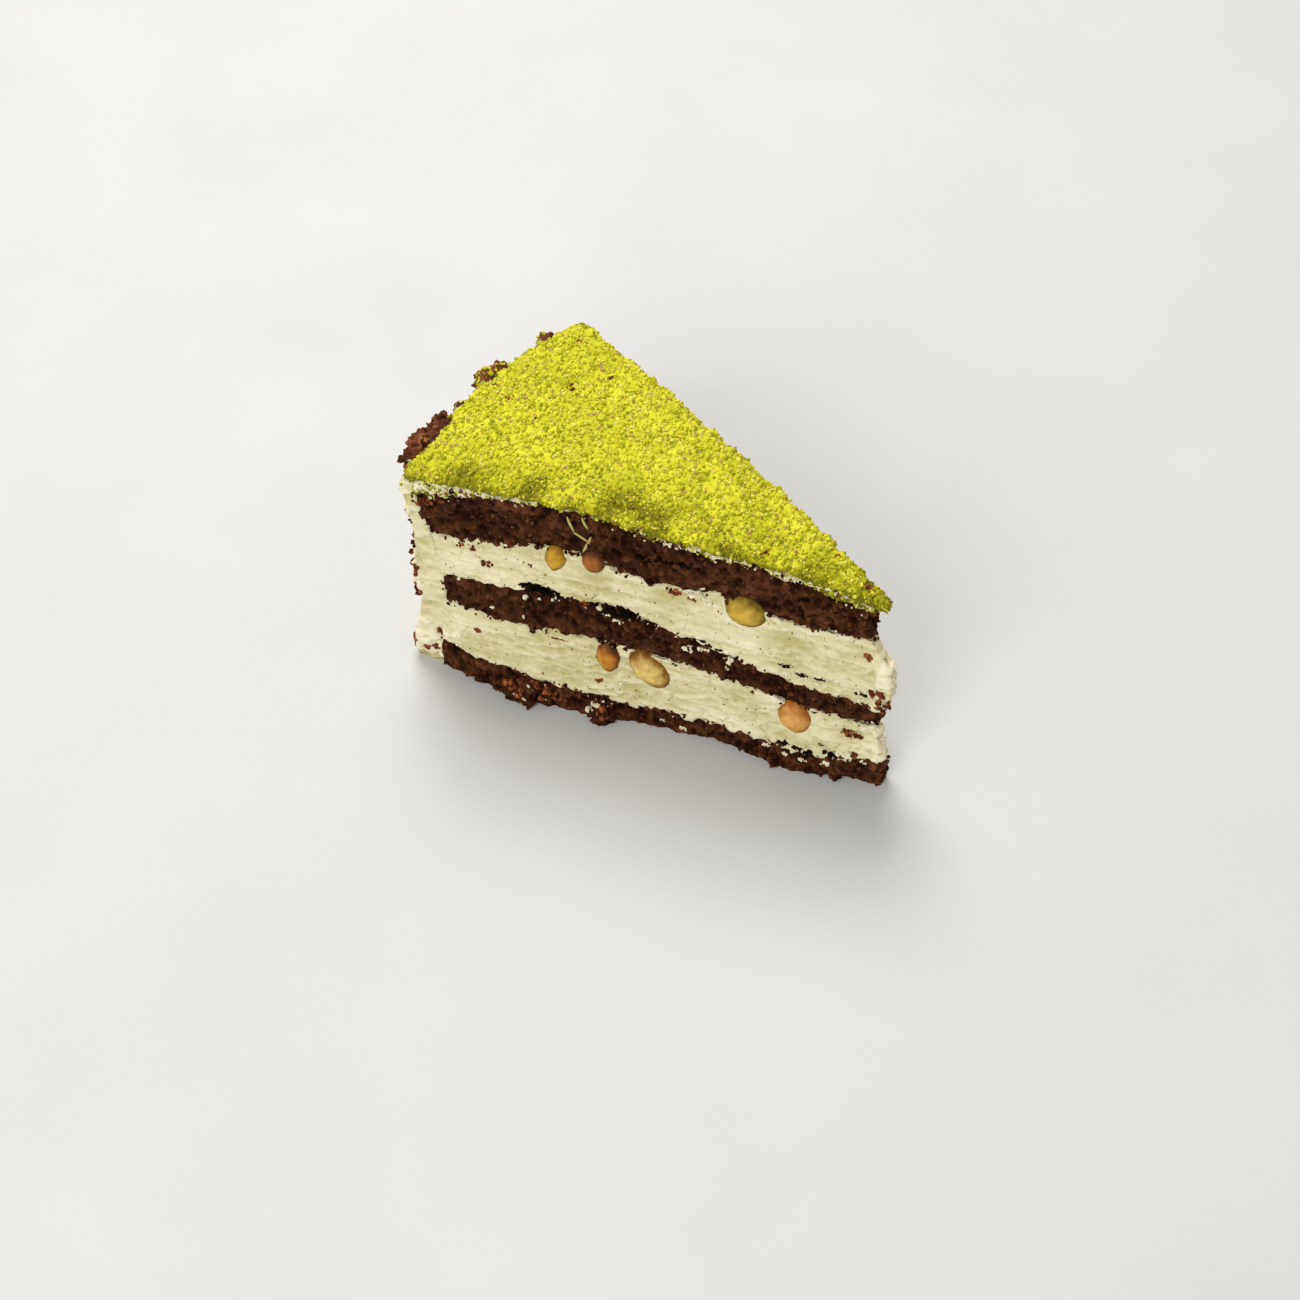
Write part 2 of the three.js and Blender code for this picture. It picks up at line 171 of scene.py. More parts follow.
CREAM_BITS = [
    (89.5, 31.6, 0.8, 0.8), (90.8, 24.3, 0.4, 0.5), (98.7, 24.7, 0.5, 0.5), (86, 32, 0.4, 0.4),
    (70.2, 34.4, 0.8, 1.1), (68.9, 33, 0.9, 0.5), (65.9, 31.4, 1.4, 0.5), (38.2, 27, 0.35, 0.9),
    (38.6, 25, 0.35, 0.5), (48.5, 28, 1.4, 0.7), (47.8, 29.4, 0.8, 0.4), (43.3, 46.2, 1.1, 0.7),
    (45.6, 47.8, 2.0, 1.0), (50.1, -1.7, 1.2, 0.5), (55.6, -0.5, 0.9, 0.4), (62.7, 1.9, 1.1, 0.4),
    (14, -0.3, 1.2, 0.8), (19.3, -1.3, 1.2, 0.5), (23.9, -0.8, 0.9, 0.5), (28.6, 0.7, 1.1, 0.6),
    (4.2, 3.7, 0.9, 0.5), (10.3, 4.6, 1.5, 0.6), (91.3, -1.4, 0.5, 0.4), (90.2, -2.7, 0.5, 0.35),
    (92.9, -7, 0.5, 0.4), (87, -4.9, 0.4, 0.35), (95.7, -5.9, 0.4, 0.35), (74.8, -3.7, 1.0, 1.2),
    (73.1, -1.9, 1.2, 0.8), (75, -7, 0.6, 0.5), (27.5, 61.6, 2.4, 0.5), (22.5, 60.6, 2.2, 0.5),
    (48, 62.2, 2.4, 0.5), (41, 62, 2.0, 0.4), (44.4, 29.3, 1.6, 0.6), (38.1, 28.4, 1.5, 0.5),
    (23.8, 28.6, 2.4, 0.6), (19.2, 27.6, 1.6, 0.5), (15.2, 27.6, 1.6, 0.6), (5.2, 25.6, 1.2, 0.8),
]

# Largest crumb in a detail, and how many times over its crumbs would cover it
LARGEST_BIT = 1.1
BITS_SHARE = 5.5

# Larger lumps of cream on the shown cut: place, height and radius, and how deep into the cut they lie
CREAM_LUMPS = [
    (119.2, 9.2, 2.1), (118, 6.2, 2.1), (115.6, 9.4, 1.8), (117, 3.2, 1.7), (113.6, 6.2, 1.4),
    (111.5, 12, 1.5), (108.6, 13.2, 1.5), (114, 2.4, 1.3), (0.4, 39.4, 1.9), (-0.4, 36.8, 2.1),
    (0.8, 35, 1.5), (0.6, 16.6, 1.6), (0.5, 11.6, 1.5), (0.3, 9, 1.5), (2.2, 21, 1.2), (4.5, 17.5, 1.1),
    (3.2, 12.4, 1.1), (45.5, 48.2, 1.5), (43.2, 46.6, 1.1), (48, 48.8, 1.2), (118.6, 59, 1.6),
    (115.5, 60.2, 1.4), (121, 7.5, 1.8), (120.6, 4, 1.6), (119.5, 12, 1.3), (117.6, 14.2, 1.6),
    (118.6, 51.4, 1.2), (118.4, 37.2, 1.3), (118.2, 25.8, 1.5), (118.6, 29, 1.1),
]
LUMP_DEPTH = 3.0

# Clusters of crumbs and of cream on the coat by the shown cut: height and radius
CORNER_CRUMBS = [(50.1, 1.6), (48.0, 1.0), (40.5, 1.3), (32.3, 1.8), (29.8, 1.2), (23.7, 1.6), (3.0, 1.0)]
CORNER_CREAM = [(51.6, 1.2), (37.2, 1.3), (34.6, 0.9), (27.4, 1.5), (25.6, 1.2)]

# Shreds of nut on the shown cut, each as a few places and heights, their half width, how flat they are, and
# how far they stand out of the cut
SHREDS = [
    [(77.2, 63.4), (76.6, 61), (75.6, 58.8)],
    [(73.4, 64.4), (73.2, 62.4), (72, 60.8)],
    [(71.4, 58.6), (72.2, 56), (73.8, 52.6)],
    [(75.8, 58.6), (73.8, 57.6), (72.2, 56.6)],
]
SHRED_RADIUS = 0.34
SHRED_FLATNESS = 0.6
SHRED_STAND = 0.4

# Screen colours from 0 to 255, from dark to light, and the tones at which ground nut has its colours. Where
# a stored tone follows the relief or the slope, the darker colours of sponge, cream, cocoa crumb and ground
# nut are painted shade and the lighter ones painted highlight.
SPONGE = [(30, 11, 4), (70, 36, 17), (112, 65, 38)]
CREAM = [(190, 182, 122), (222, 214, 170), (240, 232, 196)]
COCOA = [(58, 25, 9), (108, 58, 32), (152, 94, 60)]
RED = [(64, 20, 5), (114, 50, 18), (164, 92, 44)]
# Near-black colours of the crumbs that are painted shadow in gaps and pockets
PAINTED_SHADOW_COLOURS = [(9, 6, 3), (17, 10, 5), (32, 17, 9)]
DUST = [(114, 112, 6), (164, 159, 16), (202, 195, 40), (216, 210, 68)]
DUST_TONES = (0.0, 0.25, 0.5, 0.95)
PALE = [(202, 194, 68), (220, 211, 108)]
GREENS = [(128, 129, 8), (176, 175, 24)]
SKINS = [(158, 112, 58), (204, 170, 102)]
BITS = [(140, 132, 58), (196, 186, 110)]
FLOOR = [(196, 195, 192), (200, 199, 196)]
TWO_TONES = (0.1, 0.9)

# Loose grains of ground nut: how many, their least and largest radius, their colours and tones
GRAINS = {
    "dust_kernels": (5600, 0.2, 0.55, DUST, DUST_TONES),
    "dust_pale": (1800, 0.18, 0.46, PALE, TWO_TONES),
    "dust_greens": (2000, 0.2, 0.5, GREENS, TWO_TONES),
    "dust_skins": (700, 0.18, 0.45, SKINS, TWO_TONES),
}

# The floor's half side in metres, the sky's strength, and the lamps: place and size in metres, and power
FLOOR_HALF = 3.0
SKY = 0.42
LAMPS = {
    "key": ((-0.45, 0.35, 0.95), 0.7, 11.0),
    "fill": ((0.15, -0.95, 0.75), 0.8, 8.5),
}

# Nuts: colour in the middle and at the edge, which is darker partly for the skin and partly as painted
# shade, the depth of the crease, how much narrower the foot is, and how far the top leans to the rim for its
# height
GOLD = (206, 162, 48), (146, 100, 24)
OLIVE = (206, 168, 66), (120, 94, 20)
AMBER = (204, 138, 46), (118, 64, 16)
IVORY = (226, 196, 112), (142, 92, 28)
NUTS = {
    "nut_upper_rim": (*GOLD, 0, 0.3, 0),
    "nut_upper_middle": ((164, 100, 42), (96, 50, 16), 0.06, 0, 0),
    "nut_upper_tip": (*OLIVE, 0, 0, 0.15),
    "nut_lower_rim": (*AMBER, 0.08, 0.45, 0.2),
    "nut_lower_middle": (*IVORY, 0.05, 0.1, 0.36),
    "nut_lower_tip": ((222, 168, 92), (166, 100, 32), 0, 0.15, 0.1),
    "nut_back_upper_rim": (*GOLD, 0.06, 0.2, 0),
    "nut_back_upper_tip": (*OLIVE, 0, 0, 0),
    "nut_back_lower_rim": (*IVORY, 0.05, 0.1, 0.2),
    "nut_back_lower_tip": (*AMBER, 0, 0.3, 0),
}

# How far the layers close in on a nut, and how many times its form is smoothed
NUT_SQUEEZE = 0.45
NUT_SMOOTHING = 14


# Noise and shape helpers


def smooth_noise(points, size, seed):
    """Noise from -1 to 1 with swells of the given size, which may differ along each axis."""
    table = np.random.default_rng(seed).uniform(-1, 1, [NOISE_CELLS] * 3)
    spot = points / np.asarray(size, float)
    cell = np.floor(spot).astype(int)
    share = smooth_step(spot - cell, 0, 1)
    total = np.zeros(len(points))
    for corner in np.ndindex(2, 2, 2):
        weight = np.prod(np.where(np.array(corner) == 1, share, 1 - share), axis=1)
        at = (cell + corner) % NOISE_CELLS
        total += weight * table[tuple(at.T)]
    return total


def layered_noise(points, size, seed, steps=3):
    """Smooth noise with finer and weaker noise on top."""
    total = np.zeros(len(points))
    for step in range(steps):
        total += smooth_noise(points, np.asarray(size, float) / 2**step, seed + step) / 2**step
    return total


def cell_distance(points, size, seed):
    """Distance to the nearest of many random spots, one in each cell of the given size, in cells."""
    spots = np.random.default_rng(seed).random([NOISE_CELLS] * 3 + [3])
    place = points / size
    cell = np.floor(place).astype(int)
    nearest = np.full(len(points), np.inf)
    for shift in np.ndindex(3, 3, 3):
        other = cell + shift - np.array([1, 1, 1])
        at = other % NOISE_CELLS
        spot = other + spots[tuple(at.T)]
        nearest = np.minimum(nearest, ((place - spot) ** 2).sum(axis=1))
    return np.sqrt(nearest)


def smooth_step(value, low, high):
    """From 0 at the low value to 1 at the high one, level at both ends."""
    share = np.clip((value - low) / (high - low), 0, 1)
    return share * share * (3 - 2 * share)


def on_cut(points, side):
    """The points as place along the cut, distance out from it, and height."""
    flat = points[:, :2] - CAKE_MIDDLE
    return np.column_stack([flat @ ALONG[side], flat @ OUT[side], points[:, 2]])


def cut_places(points):
    """As on_cut, by the cut that each point is nearer to."""
    return np.where(points[:, 1:2] < 0, on_cut(points, NEAR), on_cut(points, FAR))


def take_arrays(mesh):
    """Points and triangles of an editable mesh, which is freed."""
    mesh.verts.index_update()
    points = np.array([vert.co for vert in mesh.verts])
    triangles = np.array([[vert.index for vert in face.verts] for face in mesh.faces])
    mesh.free()
    return points, triangles


def ball(splits):
    """Points and triangles of a round ball of 20 faces, split that many times."""
    mesh = bmesh.new()
    bmesh.ops.create_icosphere(mesh, subdivisions=splits + 1, radius=1)
    return take_arrays(mesh)


BALLS = [ball(0), ball(1)]


# Solids to fine meshes


def open_solid(node):
    """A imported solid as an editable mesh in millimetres, with its corners joined."""
    mesh = bmesh.new()
    mesh.from_mesh(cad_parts[node].data)
    bmesh.ops.scale(mesh, vec=Vector((1, 1, 1)) / MM, verts=mesh.verts)
    bmesh.ops.remove_doubles(mesh, verts=mesh.verts, dist=0.002)
    mesh.normal_update()
    return mesh


def split_once(points, triangles, shown, length):
    """Halves the edges of shown triangles that are longer than length. None if there are no such edges."""
    pairs = np.sort(triangles[:, [[0, 1], [1, 2], [2, 0]]], axis=2).astype(np.int64)
    keys, edge = np.unique(pairs[..., 0] * len(points) + pairs[..., 1], return_inverse=True)
    edge = edge.reshape(-1, 3)
    ends = np.column_stack([keys // len(points), keys % len(points)])
    long = np.linalg.norm(points[ends[:, 0]] - points[ends[:, 1]], axis=1) > length
    long &= np.isin(np.arange(len(keys)), edge[shown])
    if not long.any():
        return None
    middle = np.full(len(keys), -1)
    middle[long] = len(points) + np.arange(long.sum())
    points = np.vstack([points, points[ends[long]].mean(axis=1)])
    halved = middle[edge]
    count = (halved >= 0).sum(axis=1)
    every = count == 3
    first, second, third = triangles[every].T
    ahead, across, behind = halved[every].T
    made = [(first, ahead, behind), (ahead, second, across)]
    made += [(behind, across, third), (ahead, across, behind)]
    for turn in range(3):
        corners = np.roll(triangles, -turn, axis=1)
        turned = np.roll(halved, -turn, axis=1)
        one = (count == 1) & (turned[:, 0] >= 0)
        first, second, third = corners[one].T
        ahead = turned[one, 0]
        made += [(first, ahead, third), (ahead, second, third)]
        two = (count == 2) & (turned[:, 2] < 0)
        first, second, third = corners[two].T
        ahead, across = turned[two, :2].T
        made += [(ahead, second, across), (first, ahead, across), (first, across, third)]
    return points, np.vstack([triangles[count == 0]] + [np.column_stack(some) for some in made])


def refine(mesh, length, is_shown):
    """The mesh as points, triangles and which are shown, with no edge of those longer than length."""
    points, triangles = take_arrays(mesh)
    while True:
        shown = is_shown(points[triangles].mean(axis=1), unit(face_areas(points, triangles)))
        finer = split_once(points, triangles, shown, length)
        if finer is None:
            return points, triangles, shown
        points, triangles = finer


def face_areas(points, triangles):
    """Normals of the triangles, as long as their areas."""
    first, second, third = (points[triangles[:, corner]] for corner in range(3))
    return np.cross(second - first, third - first) / 2


def unit(vectors):
    """The vectors at a length of 1, or still zero."""
    return vectors / np.maximum(np.linalg.norm(vectors, axis=1, keepdims=True), 1e-9)


def point_normals(points, triangles):
    """Unit normals of the points, zero where no triangle touches them."""
    total = np.zeros_like(points)
    area = face_areas(points, triangles)
    for corner in range(3):
        np.add.at(total, triangles[:, corner], area)
    return unit(total)


def scatter(points, triangles, count, draw):
    """Random places on triangles, even by area, with their normals."""
    area = face_areas(points, triangles)
    size = np.linalg.norm(area, axis=1)
    chosen = draw.choice(len(triangles), count, p=size / size.sum())
    shares = draw.random((2, count, 1))
    first, second = np.where(shares.sum(axis=0) > 1, 1 - shares, shares)
    corner = points[triangles[chosen]]
    place = corner[:, 0] + first * (corner[:, 1] - corner[:, 0]) + second * (corner[:, 2] - corner[:, 0])
    return place, unit(area[chosen])


def random_turns(count, draw):
    """Random rotation matrices."""
    first = unit(draw.normal(size=(count, 3)))
    second = draw.normal(size=(count, 3))
    second = unit(second - (first * second).sum(axis=1, keepdims=True) * first)
    return np.stack([first, second, np.cross(first, second)], axis=2)


def lumps(places, radii, draw, splits, rough, spread):
    """Uneven balls at the places, joined into one mesh: points, triangles, and which ball a point is of."""
    shape, faces = BALLS[splits]
    count = len(places)
    sizes = radii[:, None] * draw.uniform(1 - spread, 1 + spread, (count, 3))
    swell = 1 + rough * draw.uniform(-1, 1, (count, len(shape), 1))
    local = shape[None] * sizes[:, None] * swell
    points = np.einsum("nij,nvj->nvi", random_turns(count, draw), local) + places[:, None]
    triangles = faces[None] + len(shape) * np.arange(count)[:, None, None]
    return points.reshape(-1, 3), triangles.reshape(-1, 3), np.repeat(np.arange(count), len(shape))


# Pieces and materials


def add_object(name, data):
    """An object with that mesh, camera or lamp, linked into the scene."""
    made = bpy.data.objects.new(name, data)
    bpy.context.scene.collection.objects.link(made)
    return made


def add_piece(name, points, triangles, look, slot, values, stands_for=(), smooth=True):
    """A mesh object from arrays in millimetres with values for its points, which rides on the slice."""
    mesh = bpy.data.meshes.new(name)
    mesh.vertices.add(len(points))
    mesh.vertices.foreach_set("co", (points * MM).astype(np.float32).ravel())
    mesh.loops.add(3 * len(triangles))
    mesh.loops.foreach_set("vertex_index", triangles.astype(np.int32).ravel())
    mesh.polygons.add(len(triangles))
    mesh.polygons.foreach_set("loop_start", np.arange(0, 3 * len(triangles), 3, dtype=np.int32))
    mesh.update(calc_edges=True)
    mesh.polygons.foreach_set("use_smooth", np.full(len(triangles), smooth))
    for key, data in values.items():
        mesh.attributes.new(key, "FLOAT", "POINT").data.foreach_set("value", data.astype(np.float32))
    mesh.materials.append(look)
    made = add_object(name, mesh)
    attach(made, "root")
    if stands_for:
        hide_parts(*stands_for)


def linear(colour):
    """A screen colour of 0 to 255 as a linear one with alpha."""
    parts = [value / 255 for value in colour]
    return [value / 12.92 if value <= 0.04045 else ((value + 0.055) / 1.055) ** 2.4 for value in parts] + [1]


class Look:
    """A material whose nodes are added one by one to a Principled shader."""

    def __init__(self, name, roughness, specular):
        self.material = bpy.data.materials.new(name)
        self.material.use_nodes = True
        tree = self.material.node_tree
        self.add = tree.nodes.new
        self.link = tree.links.new
        self.shader = tree.nodes["Principled BSDF"]
        self.shader.inputs["Roughness"].default_value = roughness
        self.shader.inputs["Specular IOR Level"].default_value = specular
        self.place = self.add("ShaderNodeTexCoord")

    def noise(self, size, detail=3):
        """Noise from 0 to 1 with swells of a size in millimetres."""
        mapping = self.add("ShaderNodeMapping")
        mapping.inputs["Scale"].default_value = [1 / (size * MM)] * 3
        self.link(self.place.outputs["Object"], mapping.inputs["Vector"])
        texture = self.add("ShaderNodeTexNoise")
        texture.inputs["Scale"].default_value = 1
        texture.inputs["Detail"].default_value = detail
        self.link(mapping.outputs["Vector"], texture.inputs["Vector"])
        return texture.outputs["Fac"]

    def value(self, name):
        """A number stored with the mesh's points."""
        node = self.add("ShaderNodeAttribute")
        node.attribute_name = name
        return node.outputs["Fac"]

    def ramp(self, factor, places, colours):
        """Colours at places from 0 to 1."""
        node = self.add("ShaderNodeValToRGB")
        elements = node.color_ramp.elements
        while len(elements) < len(colours):
            elements.new(0.5)
        for element, place, colour in zip(elements, places, colours):
            element.position = place
            element.color = linear(colour)
        self.link(factor, node.inputs["Fac"])
        return node.outputs["Color"]

    def mask(self, factor):
        """From 0 to 1, in a short step at the middle."""
        return self.ramp(factor, (0.42, 0.58), [(0, 0, 0), (255, 255, 255)])

    def mix(self, factor, first, second):
        """The first colour where the factor is 0, the second where it is 1."""
        node = self.add("ShaderNodeMix")
        node.data_type = "RGBA"
        self.link(factor, node.inputs["Factor"])
        for socket, colour in zip((6, 7), (first, second)):
            if isinstance(colour, tuple):
                node.inputs[socket].default_value = linear(colour)
            else:
                self.link(colour, node.inputs[socket])
        return node.outputs[2]

    def blend(self, factor, socket, first, second):
        """Sets a number of the shader: the first where the factor is 0, the second where it is 1."""
        node = self.add("ShaderNodeMix")
        self.link(factor, node.inputs["Factor"])
        node.inputs[2].default_value = first
        node.inputs[3].default_value = second
        self.link(node.outputs[0], self.shader.inputs[socket])

    def sum(self, first, second, share):
        """The first number plus a share of the second, less half of the share."""
        node = self.add("ShaderNodeMath")
        node.operation = "MULTIPLY_ADD"
        self.link(second, node.inputs[0])
        node.inputs[1].default_value = share
        less = self.add("ShaderNodeMath")
        less.operation = "SUBTRACT"
        self.link(first, less.inputs[0])
        less.inputs[1].default_value = share / 2
        self.link(less.outputs[0], node.inputs[2])
        return node.outputs[0]

    def finish(self, colour, height, depth):
        """Sets the colour, and a bump of a depth in millimetres."""
        self.link(colour, self.shader.inputs["Base Color"])
        bump = self.add("ShaderNodeBump")
        bump.inputs["Distance"].default_value = depth * MM
        self.link(height, bump.inputs["Height"])
        self.link(bump.outputs["Normal"], self.shader.inputs["Normal"])
        return self.material


def sponge_look(name, colours, roughness=0.9, specular=0.08):
    """Crumb with a stored tone, smeared with cream where it has milk."""
    look = Look(name, roughness, specular)
    tone = look.sum(look.value("tone"), look.noise(0.9, detail=4), share=0.6)
    colour = look.ramp(tone, (0.12, 0.5, 0.92), colours)
    milk = look.mask(look.sum(look.value("milk"), look.noise(0.7), share=0.5))
    return look.finish(look.mix(milk, colour, CREAM[1]), look.noise(0.5, detail=4), depth=0.25)


def cream_look():
    """Cream with a stored tone, or crumb where it has cocoa, which also holds painted shade on the walls of
    the pockets.
    """
    look = Look("cream", roughness=0.55, specular=0.25)
    look.shader.inputs["Subsurface Radius"].default_value = (1.6 * MM, 1.3 * MM, 0.7 * MM)
    look.shader.inputs["Subsurface Scale"].default_value = 1
    tone = look.sum(look.value("tone"), look.noise(1.1, detail=4), share=0.45)
    colour = look.ramp(tone, (0.1, 0.5, 0.9), CREAM)
    brown = look.ramp(tone, (0.1, 0.5, 0.9), COCOA)
    crumb = look.mask(look.sum(look.value("cocoa"), look.noise(0.6), share=0.5))
    look.blend(crumb, "Roughness", 0.55, 0.95)
    look.blend(crumb, "Subsurface Weight", 0.12, 0)
    return look.finish(look.mix(crumb, colour, brown), look.noise(0.7, detail=5), depth=0.26)


def dust_look(name, colours, tones):
    """Ground nut, from the first colour to the last by its stored tone."""
    look = Look(name, roughness=0.85, specular=0.2)
    tone = look.sum(look.value("tone"), look.noise(0.6), share=0.25)
    return look.finish(look.ramp(tone, tones, colours), look.noise(0.3), depth=0.06)


def nut_look(name, middle, edge):
    """Mottled skin of a nut, darkest past its edge, partly for the skin and partly as painted shade."""
    look = Look(name, roughness=0.6, specular=0.15)
    tone = look.sum(look.value("tone"), look.noise(1.8, detail=6), share=1.0)
    darkest = [0.7 * part for part in edge]
    colour = look.ramp(tone, (0.1, 0.66, 1.0), [middle, edge, darkest])
    return look.finish(colour, look.noise(0.9, detail=5), depth=0.16)


# Layers of sponge and cream


def nut_places(points):
    """For each nut its name, its middle, and how near each point is: 1 at its surface, more outside."""
    for name in NUTS:
        low, high = (np.array(corner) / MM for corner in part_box(name))
        middle = (low + high) / 2
        yield name, middle, np.linalg.norm((points - middle) / ((high - low) / 2), axis=1)


def nut_nearness(points):
    """How near each point is to the nearest nut."""
    return np.min([nearness for _, _, nearness in nut_places(points)], axis=0)


def nut_lean(name, points, middle):
    """Moves along the cut that make a nut lean."""
    side = NEAR if middle[1] < 0 else FAR
    return NUTS[name][-1] * (points[:, 2:] - middle[2]) * np.append(ALONG[side], 0)


def nut_squeeze(points):
    """Short moves that close the gap round each nut."""
    moves = np.zeros_like(points)
    for name, middle, nearness in nut_places(points):
        close = 1 - smooth_step(nearness, 1.1, 1.6)
        inward = NUT_SQUEEZE * unit(middle - points)
        moves += close[:, None] * (inward + nut_lean(name, points, middle))
    return moves


def pocket_nearness(points):
    """How near each point by the shown cut is to a pocket: 1 at its edge, more outside."""
    along, out, height = on_cut(points, NEAR).T
    nearest = np.full(len(points), np.inf)
    for place, level, half_length, half_height in POCKETS:
        share = np.hypot((along - place) / half_length, (height - level) / half_height)
        nearest = np.minimum(nearest, np.where(out > -POCKET_DEPTH, share, np.inf))
    return nearest


def is_clear(points, of_nuts, of_pockets):
    """True for points further off from nuts and pockets than these."""
    return (nut_nearness(points) > of_nuts) & (pocket_nearness(points) > of_pockets)


def cake_radii(points):
    """Distances from the upright line through the middle of the cake."""
    return np.linalg.norm(points[:, :2] - CAKE_MIDDLE, axis=1)


def reach_out(mesh, up, down):
    """Moves a layer's top and bottom and its rim end into its neighbours, away from nuts and pockets."""
    places = np.array([vert.co for vert in mesh.verts])
    clear = is_clear(places, of_nuts=1.3, of_pockets=1.1)
    radii = cake_radii(places)
    at_rim = radii > radii.max() - RIM_BAND
    moves = np.zeros_like(places)
    for vert in mesh.verts:
        at = vert.index
        tilts = [face.normal.z for face in vert.link_faces]
        if at_rim[at]:
            moves[at, :2] = RIM_REACH * (places[at, :2] - CAKE_MIDDLE) / radii[at]
        elif clear[at]:
            moves[at, 2] = up * (max(tilts) > UPRIGHT) - down * (min(tilts) < -UPRIGHT)
    for vert in mesh.verts:
        vert.co += Vector(moves[vert.index])
    mesh.normal_update()


def layer_is_shown(centres, normals):
    """True for faces of a layer that lie by a cut or in a pocket."""
    return (cut_places(centres)[:, 1] > -SHOWN_DEPTH) | (pocket_nearness(centres) < 1.6)


def border_heights(points, triangles, shown, side, top):
    """Places and heights of a layer's top or bottom, where its shown part meets the hidden part."""
    hidden = triangles[~shown]
    tilt = unit(face_areas(points, hidden))[:, 2]
    capped = np.unique(hidden[tilt > UPRIGHT if top else tilt < -UPRIGHT])
    border = np.intersect1d(capped, np.unique(triangles[shown]))
    clear = is_clear(points[border], of_nuts=1.4, of_pockets=2)
    border = border[clear & (points[border, 1] * side > 0)]
    place = on_cut(points[border], side)
    order = np.argsort(place[:, 0])
    return place[order, 0], place[order, 2]


def edge_distance(points, triangles, shown, on_floor):
    """Height between each point and the nearest ragged edge of its layer. There is none on the floor."""
    nearest = np.full(len(points), np.inf)
    for side in SIDES:
        chosen = points[:, 1] * side >= 0
        place = on_cut(points[chosen], side)
        for top in (True,) if on_floor else (True, False):
            along, height = border_heights(points, triangles, shown, side, top)
            edge = np.interp(place[:, 0], along, height)
            gap = edge - place[:, 2] if top else place[:, 2] - edge
            nearest[chosen] = np.minimum(nearest[chosen], gap)
    return nearest


def sponge_relief(points, seed):
    """Height of open crumb: swells, rounded crumbs and holes."""
    swells = layered_noise(points, 3.2, seed)
    crumbs = 0.5 - cell_distance(points, 1.4, seed)
    holes = np.clip(0.5 - cell_distance(points, 2.8, seed + 1), 0, 1)
    return 0.4 * swells + 0.8 * crumbs - 1.9 * holes


def cream_relief(points):
    """Height of cream that a knife has dragged along the cut, in ridges and torn open here and there."""
    place = cut_places(points)
    slope = 0.04
    place[:, 2] += slope * place[:, 0]
    streaks = layered_noise(place, (13, 5, 2.2), CREAM_SEED)
    ridges = np.clip(1 - 4 * np.abs(smooth_noise(place, (7, 5, 1.6), CREAM_SEED + 3)), 0, 1)
    fine = layered_noise(place, (2.6, 2, 0.9), CREAM_SEED + 5, steps=2)
    tears = np.clip(0.42 - cell_distance(place / (2.0, 1, 1), 1.5, CREAM_SEED + 9), 0, 1)
    some = smooth_step(smooth_noise(points, 14, CREAM_SEED + 12), -0.3, 0.4)
    return 0.28 * streaks + 0.34 * ridges + 0.26 * fine - 1.7 * tears * some


def cream_tone_and_shade(points, relief):
    """Lightness of cream: a painted highlight on its ridges and painted shade in its tears, with a random
    tone over it.
    """
    return 0.42 + 0.62 * relief + 0.28 * smooth_noise(points, 9, CREAM_SEED)


def cream_lumps(points):
    """Height of the larger lumps of cream on the shown cut."""
    along, out, height = on_cut(points, NEAR).T
    uneven = 1 + 0.4 * layered_noise(points, 1.3, CREAM_SEED)
    highest = np.zeros(len(points))
    for place, level, radius in CREAM_LUMPS:
        share = np.hypot(along - place, height - level) * uneven / radius
        highest = np.maximum(highest, 0.6 * radius * np.sqrt(np.clip(1 - share**2, 0, 1)))
    return np.where(out > -LUMP_DEPTH, highest, 0)


